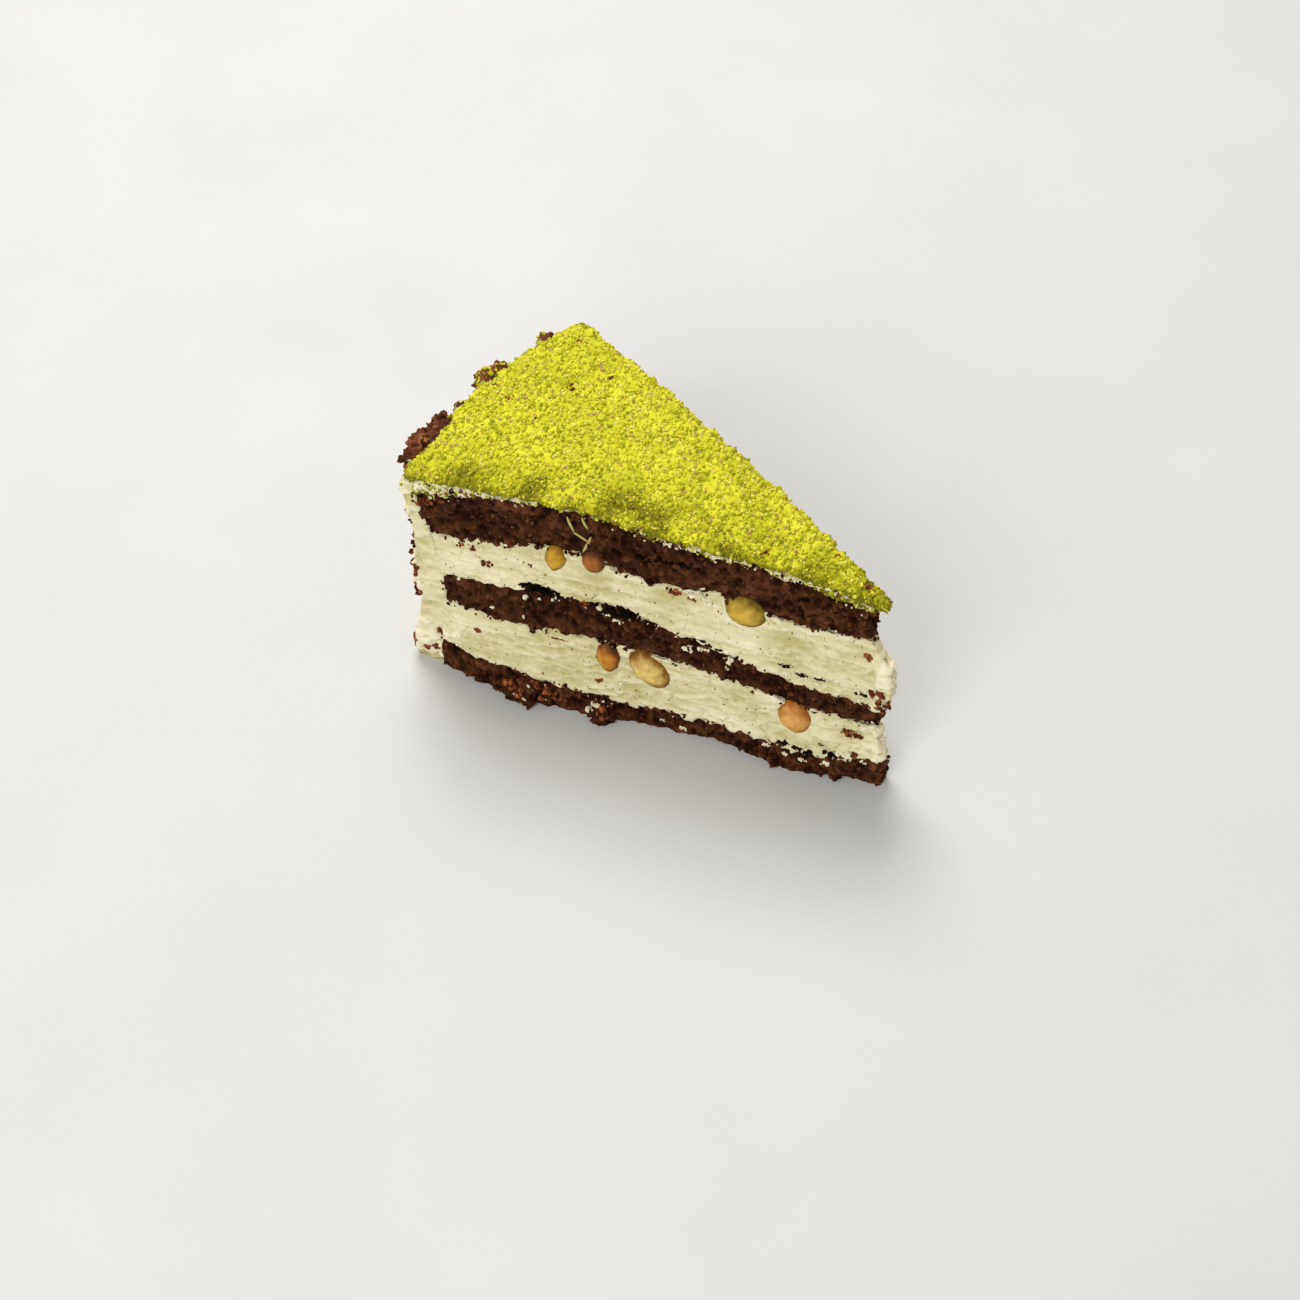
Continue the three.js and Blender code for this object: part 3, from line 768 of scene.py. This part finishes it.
def build_layer(name, seed):
    """Points, triangles, shown faces, ragged share and stored values of one layer."""
    kind, up, down = LAYERS[name]
    mesh = open_solid(name)
    reach_out(mesh, up, down)
    points, triangles, shown = refine(mesh, LAYER_EDGE, layer_is_shown)
    normals = point_normals(points, triangles[shown])
    normals[:, 2] *= 0.25
    normals = unit(normals)
    on_floor = name == "base_sponge"
    ragged = edge_distance(points, triangles, shown, on_floor)
    band = RAGGED_BAND if kind == "sponge" else RAGGED_BAND / 2
    fall = np.clip(1 - ragged / band, 0, 1)
    calm = smooth_step(nut_nearness(points), 1.0, 1.5)
    smears = np.clip(1.1 * layered_noise(points, 1.7, seed + 40) - 0.4, 0, 1) * (fall > 0)
    if kind == "sponge":
        relief = sponge_relief(points, seed)
        edge_noise = layered_noise(points, 2.4, seed + 20)
        move = relief - fall * (0.8 - 1.1 * edge_noise)
        # Painted light: the tone follows the relief, a painted highlight on the crumbs and painted shade in
        # the holes, with a random tone over it
        tone = 0.45 + 0.6 * relief + 0.16 * layered_noise(points, 6, seed + 21)
        values = {"tone": tone, "milk": smears}
    else:
        relief = cream_relief(points) + cream_lumps(points)
        edge_noise = layered_noise(points, 2.0, seed + 20)
        radii = cake_radii(points)
        under_coat = smooth_step(radii, radii.max() - RIM_BAND, radii.max() - 0.8)
        move = relief + fall * (0.5 * edge_noise - 0.1) - 0.4 * under_coat
        # Painted shade: the recessed walls of the pockets are coloured as dark crumb through the cocoa value
        painted_pocket_shade = (pocket_nearness(points) < 1.3) & (on_cut(points, NEAR)[:, 1] < -0.8)
        # The cream's tone holds a painted highlight on its ridges and painted shade in its tears
        values = {"tone": cream_tone_and_shade(points, relief), "cocoa": np.maximum(smears, painted_pocket_shade)}
    visible = np.linalg.norm(normals, axis=1) > 0.5
    lift = 0.9 * fall * calm * visible * layered_noise(points, 2.6, seed + 30)
    points = points + normals * (move * (0.25 + 0.75 * calm))[:, None] + nut_squeeze(points)
    points[:, 2] += lift
    if on_floor:
        points[:, 2] = np.maximum(points[:, 2], 0)
    return points, triangles, shown, fall, values


# Ground pistachio


def dust_shade(points):
    """Painted shade: how much darker the dust is, in patches, where it turns down to the shown cut."""
    along, out, _ = on_cut(points, NEAR).T
    patches = 0.65 + 0.8 * smooth_noise(points, 6, SEED)
    return (0.34 + 0.16 * smooth_step(along, 25, 60)) * patches * smooth_step(out, -12, -1)


def build_topping(seed):
    """Points, triangles, shown faces and tone of the cover of ground nuts, without its loose grains."""
    mesh = open_solid("pistachio_topping")
    points, triangles, shown = refine(mesh, TOPPING_EDGE, lambda centres, normals: normals[:, 2] > -0.5)
    normals = point_normals(points, triangles[shown])
    grains = 0.5 - cell_distance(points, 1.3, seed)
    by_cut = smooth_step(cut_places(points)[:, 1], -3, -0.5)
    relief = 0.4 * grains + (0.22 + 0.45 * by_cut) * layered_noise(points, 2.6, seed + 3)
    # Painted light: a painted highlight on the grain tops, painted shade between them and where the cover
    # turns down, with a random tone over it
    tone = 0.5 + 0.35 * grains + 0.2 * smooth_noise(points, 6, seed + 6) - 0.3 * (1 - normals[:, 2])
    tone -= dust_shade(points)
    return points + normals * relief[:, None], triangles, shown, tone


def hanging_dust(points, triangles, count, seed):
    """Places on the top cream's edges that dust covers, with their normals."""
    draw = np.random.default_rng(seed)
    steep = np.abs(unit(face_areas(points, triangles))[:, 2]) < UPRIGHT
    place, normal = scatter(points, triangles[steep], count, draw)
    near = place[:, 1] < 0
    along = cut_places(place)[:, 0]
    bare = np.where(near, BARE_ELSEWHERE, BARE_PATCHES * (smooth_noise(place, 11, seed) > 0.1))
    for start, end, share in BARE_STRETCHES:
        bare = np.where(near & (along > start) & (along < end), share, bare)
    kept = draw.random(count) > bare
    return place[kept], normal[kept]


def add_grains(surfaces, seed):
    """Loose grains of each kind on the surfaces, each given as places and normals to draw from."""
    for order, (name, (count, least, most, colours, tones)) in enumerate(GRAINS.items()):
        draw = np.random.default_rng(seed + order)
        place, normal = (np.vstack(parts) for parts in zip(*surfaces))
        chosen = draw.choice(len(place), count, replace=False)
        radii = draw.uniform(least, most, count)
        centres = place[chosen] + normal[chosen] * (0.25 * radii)[:, None]
        points, triangles, which = lumps(centres, radii, draw, splits=0, rough=0.3, spread=0.45)
        # Painted shade on grains that sit on steep faces and where the dust turns down to the shown cut,
        # with a random tone over it
        tone = draw.uniform(0.35, 0.75, count) - 0.3 * (1 - normal[chosen, 2]) - dust_shade(centres)
        values = {"tone": tone[which]}
        look = dust_look(name, colours, tones)
        add_piece(name, points, triangles, look, "ground_pistachio", values, smooth=False)


# Coat of the rim


def faces_out(centres, normals):
    """How far faces turn away from the middle of the cake, from -1 to 1."""
    return (normals[:, :2] * unit(centres[:, :2] - CAKE_MIDDLE)).sum(axis=1)


def coat_is_shown(centres, normals):
    """True for faces of the coat that can be seen."""
    return (faces_out(centres, normals) > -0.4) & (normals[:, 2] > -0.9)


def build_coat(seed):
    """Points, triangles, shown faces and stored values of the cream coat with its larger crumbs."""
    points, triangles, shown = refine(open_solid("rim_cream"), COAT_EDGE, coat_is_shown)
    normals = point_normals(points, triangles[shown])
    proud = cake_radii(points) - np.interp(points[:, 2], COAT_HEIGHTS, COAT_RADII)
    above = points[:, 2] - COAT_TOP
    cocoa = np.maximum(smooth_step(proud, *CRUMB_PROUD), smooth_step(above, *CRUMB_ABOVE))
    crumb = 0.9 * (0.5 - cell_distance(points, 1.4, seed)) + 0.3 * layered_noise(points, 1.8, seed + 1)
    swells = 0.35 * layered_noise(points, 4, seed + 4) + 0.2 * layered_noise(points, 1.3, seed + 7)
    facing_cut = np.max([normals[:, :2] @ OUT[side] for side in SIDES], axis=0)
    smooth = smooth_step(facing_cut, 0.7, 0.95)
    coat = (1 - smooth) * swells + smooth * cream_relief(points) + cream_lumps(points)
    move = np.where(cocoa > 0.5, crumb, coat)
    # Painted light: the tone follows the relief, lighter on ridges and crumbs, darker in tears and hollows
    tone = cream_tone_and_shade(points, move)
    points = points + normals * move[:, None]
    points[:, 2] = np.maximum(points[:, 2], 0)
    return points, triangles, shown, {"tone": tone, "cocoa": cocoa}


def add_crumbs(name, places, radii, look, slot, draw, tones, splits=0):
    """Joined crumbs of one kind."""
    points, triangles, which = lumps(places, radii, draw, splits, rough=0.15, spread=0.4)
    swell = 1 + 0.4 * layered_noise(points, 0.9, SEED, steps=2)
    points = places[which] + (points - places[which]) * swell[:, None]
    points[:, 2] = np.maximum(points[:, 2], 0)
    tone = draw.uniform(*tones, len(places))[which]
    clean = np.zeros(len(points))
    values = {"tone": tone, "milk": clean, "cocoa": clean}
    add_piece(name, points, triangles, look, slot, values, smooth=slot == "cream")


# Nuts


def build_nut(name, depth, taper, seed):
    """Points, triangles and tone of a nut: rounded, creased and narrower at its foot, with painted shade in
    the crease, and darker at its edge and foot, partly for the skin and partly as painted shade.
    """
    points, triangles, _ = refine(open_solid(name), NUT_EDGE, lambda centres, _: np.full(len(centres), True))
    low = points.min(axis=0)
    high = points.max(axis=0)
    for _ in range(NUT_SMOOTHING):
        total = np.zeros_like(points)
        count = np.zeros((len(points), 1))
        for first, second in ((0, 1), (1, 2), (2, 0)):
            np.add.at(total, triangles[:, first], points[triangles[:, second]])
            np.add.at(count, triangles[:, first], 1)
        points = 0.5 * points + 0.5 * total / count
    middle = (points.min(axis=0) + points.max(axis=0)) / 2
    points = (points - middle) * (high - low) / np.ptp(points, axis=0) + (low + high) / 2
    side = NEAR if points[:, 1].mean() < 0 else FAR
    place = on_cut(points, side)
    share = (place - place.mean(axis=0)) / (np.ptp(place, axis=0) / 2)
    crease_place = 0.25 * np.sin(seed) + 0.22 * share[:, 2]
    crease_width = 0.13
    crease = np.exp(-(((share[:, 0] - crease_place) / crease_width) ** 2)) * (share[:, 1] > 0)
    move = 0.24 * layered_noise(points, 2.6, seed) - depth * crease
    # Painted shade in the crease; darker towards the edge and the foot, partly for the skin and partly as
    # painted shade
    tone = 0.14 + 0.8 * np.hypot(share[:, 0], share[:, 2]) ** 3 + 1.5 * depth * crease
    tone += 0.8 * np.clip(-share[:, 2] - 0.25, 0, 1)
    narrower = (place[:, 0] - place[:, 0].mean()) * taper * np.clip(-share[:, 2], 0, 1)
    points[:, :2] -= narrower[:, None] * ALONG[side]
    points += nut_lean(name, points, (low + high) / 2)
    return points + point_normals(points, triangles) * move[:, None], triangles, tone


# Details of the shown cut


def wall_finder(parts):
    """A search tree over several meshes, each given as points and triangles."""
    corners = []
    faces = []
    for points, triangles in parts:
        faces.append(triangles + sum(len(some) for some in corners))
        corners.append(points)
    return BVHTree.FromPolygons(np.vstack(corners).tolist(), np.vstack(faces).tolist(), all_triangles=True)


def seen_on_cut(walls, along, height):
    """The place and normal that the camera sees at a place of the near cut's plane, or None."""
    eye = camera.matrix_world.translation / MM
    target = Vector((*(CAKE_MIDDLE + along * ALONG[NEAR]), height))
    place, normal, _, _ = walls.ray_cast(eye, (target - eye).normalized())
    return None if place is None else (np.array(place), np.array(normal))


def clusters(walls, details, draw):
    """Places and radii of the small crumbs that make up each detail."""
    for along, height, half_length, half_height in details:
        largest = min(half_height, LARGEST_BIT)
        for _ in range(math.ceil(BITS_SHARE * half_length * half_height / largest**2)):
            turn = draw.uniform(0, 2 * math.pi)
            reach = math.sqrt(draw.random())
            size = largest * draw.uniform(0.3, 0.65)
            place = along + half_length * reach * math.cos(turn)
            level = height + half_height * reach * math.sin(turn)
            hit = seen_on_cut(walls, place, level)
            if hit is not None:
                yield hit[0] + 0.1 * size * hit[1], size


def corner_places(details, draw, each=8):
    """Places and radii of the crumbs that make up each cluster on the coat by the shown cut."""
    for height, radius in details:
        for _ in range(each):
            level = max(height + draw.normal(0, 0.45 * radius), 0.4)
            out = np.interp(level, COAT_HEIGHTS, COAT_RADII) + draw.uniform(0, 0.6) * radius
            inward = draw.uniform(-0.1, 1.8) * radius
            flat = CAKE_MIDDLE + out * ALONG[NEAR] - inward * OUT[NEAR]
            yield [*flat, level], radius * draw.uniform(0.35, 0.65)


def dropped_places(cover, details, draw, each=6):
    """Places and radii of the crumbs that make up each cluster on the dust, found straight below."""
    for *flat, spread in details:
        for _ in range(each):
            above = Vector((*(flat + draw.normal(0, 0.5 * spread, 2)), 2 * COAT_TOP))
            place = cover.ray_cast(above, Vector((0, 0, -1)))[0]
            if place is not None:
                yield np.array(place), draw.uniform(0.3, 0.55)


def gather(*sources):
    """Places and radii from sources that give both, one source after another."""
    places, radii = zip(*(pair for source in sources for pair in source))
    return np.array(places), np.array(radii)


def build_shred(walls, route):
    """A thin curved strip over the cut."""
    sides = 5
    steps = 9
    out = np.append(OUT[NEAR], 0)
    start, bend, end = (seen_on_cut(walls, along, height)[0] + SHRED_STAND * out for along, height in route)
    share = np.linspace(0, 1, steps)[:, None]
    line = (1 - share) ** 2 * start + 2 * share * (1 - share) * bend + share**2 * end
    ahead = unit(np.gradient(line, axis=0))
    beside = unit(np.cross(ahead, out))
    above = np.cross(beside, ahead)
    thick = SHRED_RADIUS * (0.25 + np.sin(np.pi * share[:, 0]) ** 0.5)
    turns = np.linspace(0, 2 * np.pi, sides, endpoint=False)
    ring = np.cos(turns)[None, :, None] * beside[:, None]
    ring = ring + SHRED_FLATNESS * np.sin(turns)[None, :, None] * above[:, None]
    points = (line[:, None] + thick[:, None, None] * ring).reshape(-1, 3)
    triangles = []
    for step in range(steps - 1):
        for corner in range(sides):
            here = step * sides + corner
            beyond = step * sides + (corner + 1) % sides
            triangles += [(here, beyond, here + sides), (beyond, beyond + sides, here + sides)]
    last = (steps - 1) * sides
    for corner in range(1, sides - 1):
        triangles += [(0, corner + 1, corner), (last, last + corner, last + corner + 1)]
    return points, np.array(triangles)


# Camera, floor and light


def add_camera():
    back = Vector((
        math.sin(AZIMUTH) * math.cos(ELEVATION),
        -math.cos(AZIMUTH) * math.cos(ELEVATION),
        math.sin(ELEVATION),
    ))
    level = Vector((math.cos(AZIMUTH), math.sin(AZIMUTH), 0))
    upright = back.cross(level)
    right = math.cos(ROLL) * level + math.sin(ROLL) * upright
    top = math.cos(ROLL) * upright - math.sin(ROLL) * level
    data = bpy.data.cameras.new("camera")
    data.lens = LENS
    data.sensor_width = SENSOR
    camera = add_object("camera", data)
    turn = Matrix((right, top, back)).transposed()
    camera.matrix_world = Matrix.LocRotScale((AIM + CAMERA_DISTANCE * back) * MM, turn, None)
    bpy.context.scene.camera = camera
    return camera


def add_floor():
    corners = [(x * FLOOR_HALF, y * FLOOR_HALF, 0) for x, y in ((-1, -1), (1, -1), (1, 1), (-1, 1))]
    mesh = bpy.data.meshes.new("floor")
    mesh.from_pydata(corners, [], [(0, 1, 2, 3)])
    look = Look("floor", roughness=0.7, specular=0.3)
    colour = look.ramp(look.noise(60, detail=2), (0.3, 0.7), FLOOR)
    mesh.materials.append(look.finish(colour, look.noise(1.5), depth=0.02))
    floor = add_object("floor", mesh)


def add_light():
    """Soft round lamps that face the slice, and an even white sky."""
    for name, (place, size, power) in LAMPS.items():
        data = bpy.data.lights.new(name, "AREA")
        data.shape = "DISK"
        data.size = size
        data.energy = power
        lamp = add_object(name, data)
        lamp.location = place
        lamp.rotation_mode = "QUATERNION"
        lamp.rotation_quaternion = (-Vector(place)).to_track_quat("-Z", "Y")
    world = bpy.data.worlds.new("world")
    world.use_nodes = True
    sky = world.node_tree.nodes["Background"].inputs
    sky["Color"].default_value = (1, 1, 1, 1)
    sky["Strength"].default_value = SKY
    bpy.context.scene.world = world
    bpy.context.scene.view_settings.view_transform = "Standard"


# The scene and its materials

camera = add_camera()
add_floor()
add_light()

chocolate = sponge_look("chocolate_sponge", SPONGE)
cocoa = sponge_look("cocoa_crumb", COCOA)
red = sponge_look("red_crumb", RED, roughness=0.7, specular=0.2)
painted_shadow_look = sponge_look("painted_shadow_crumb", PAINTED_SHADOW_COLOURS)
cream = cream_look()
bits = dust_look("pistachio_bits", BITS, TWO_TONES)

# The layers, and the coat round their rim

built = {}
edges = {}
solids = []
for order, name in enumerate(LAYERS):
    points, triangles, shown, ragged, values = build_layer(name, SEED + 100 * order)
    kind = LAYERS[name][0]
    look = chocolate if kind == "sponge" else cream
    add_piece(name + "_cut", points, triangles, look, kind, values, [name], smooth=kind == "cream")
    solids.append((points, triangles))
    built[name] = points, triangles[shown]
    edges[name] = points, triangles[shown & (ragged[triangles].mean(axis=1) > EDGE_SHARE)]

points, triangles, shown, values = build_coat(SEED + 700)
add_piece("rim_coat", points, triangles, cream, "cream", values, ["rim_cream"])
solids.append((points, triangles))
built["rim_cream"] = points, triangles[shown]
built["rim_lumps"] = points, triangles[shown & (values["cocoa"][triangles].min(axis=1) > 0.5)]

# The cover of ground nut, with loose grains on it, on the coat's top edge and down the cuts

points, triangles, shown, tone = build_topping(SEED + 800)
look = dust_look("dust_cover", DUST, DUST_TONES)
values = {"tone": tone}
add_piece(
    "dust_cover", points, triangles, look, "ground_pistachio", values, ["pistachio_topping"], smooth=False
)
cover = wall_finder([(points, triangles)])
on_top = scatter(points, triangles[shown], TOP_PLACES, np.random.default_rng(SEED + 810))
points, triangles = built["rim_cream"]
corner = points[triangles[:, 0]]
across = 0.5 + np.arctan2(corner[:, 1], CAKE_MIDDLE[0] - corner[:, 0]) / (2 * HALF_ANGLE)
upper = corner[:, 2] > COAT_TOP - DUSTED_RIM
dusted = triangles[upper & (across > BARE_RIM)]
bare = triangles[upper & (across < BARE_RIM)]
on_rim = scatter(points, dusted, RIM_PLACES, np.random.default_rng(SEED + 811))
on_bare = scatter(points, bare, BARE_PLACES, np.random.default_rng(SEED + 812))
hanging = hanging_dust(*built["top_cream"], HANGING_PLACES, SEED + 820)
add_grains([on_top, on_rim, on_bare, hanging], SEED + 830)

# The nuts

for order, (name, (middle, edge, crease, taper, _)) in enumerate(NUTS.items()):
    points, triangles, tone = build_nut(name, crease, taper, SEED + 900 + order)
    look = nut_look(name, middle, edge)
    add_piece(name + "_kernel", points, triangles, look, "nut", {"tone": tone}, [name])

# Small crumbs all over the layers

draw = np.random.default_rng(SEED + 1000)
strewn_looks = {
    "sponge_crumbs": (chocolate, "sponge"),
    "cream_crumbs": (cream, "cream"),
    "pistachio_bits": (bits, "ground_pistachio"),
    "cream_specks": (cocoa, "sponge"),
}
for name, (parts, sizes, tones) in STREWN.items():
    found = []
    for kind, where, count in parts:
        surfaces = built if where == "face" else edges
        found += [scatter(*surfaces[layer], count, draw)[0] for layer in LAYERS if LAYERS[layer][0] == kind]
    places = np.vstack(found)
    radii = draw.uniform(*sizes, len(places))
    add_crumbs(name, places, radii, *strewn_looks[name], draw, tones)

# Crumbs on the coat, most of them small

points, triangles = built["rim_cream"]
outward = faces_out(points[triangles[:, 0]], unit(face_areas(points, triangles)))
places, normal = scatter(points, triangles[outward > 0.6], RIM_CRUMBS, draw)
radii = 0.22 + 0.75 * draw.random(RIM_CRUMBS) ** 3
places += 0.3 * radii[:, None] * normal
more_places, more_radii = gather(corner_places(CORNER_CRUMBS, draw))
on_lumps = scatter(*built["rim_lumps"], LUMP_CRUMBS, draw)[0]
places = np.vstack([places, more_places, on_lumps])
radii = np.concatenate([radii, more_radii, 0.35 + 0.6 * draw.random(LUMP_CRUMBS) ** 2])
add_crumbs("rim_crumbs", places, radii, cocoa, "sponge", draw, tones=(0.0, 0.9), splits=1)

# Crumbs, cream and shreds that stand out on the shown cut and on the dust, and near-black crumbs that are
# painted shadow

walls = wall_finder(solids)
places, radii = gather(clusters(walls, RED_CRUMBS, draw), dropped_places(cover, DUST_CRUMBS, draw))
add_crumbs("red_crumbs", places, radii, red, "sponge", draw, tones=(0.1, 0.9), splits=1)
# Painted shadow: near-black crumbs in the shadowed gaps and filling the pockets
places, radii = gather(clusters(walls, SHADOW_GAP_CRUMBS + POCKETS, draw))
add_crumbs("painted_shadow_crumbs", places, radii, painted_shadow_look, "sponge", draw, tones=(0.0, 0.8), splits=1)
places, radii = gather(clusters(walls, CREAM_BITS, draw), corner_places(CORNER_CREAM, draw))
add_crumbs("cream_bits", places, radii, cream, "cream", draw, tones=(0.5, 1.0), splits=1)
for order, route in enumerate(SHREDS):
    points, triangles = build_shred(walls, route)
    values = {"tone": np.full(len(points), 0.6)}
    add_piece(f"shred_{order}", points, triangles, bits, "ground_pistachio", values)
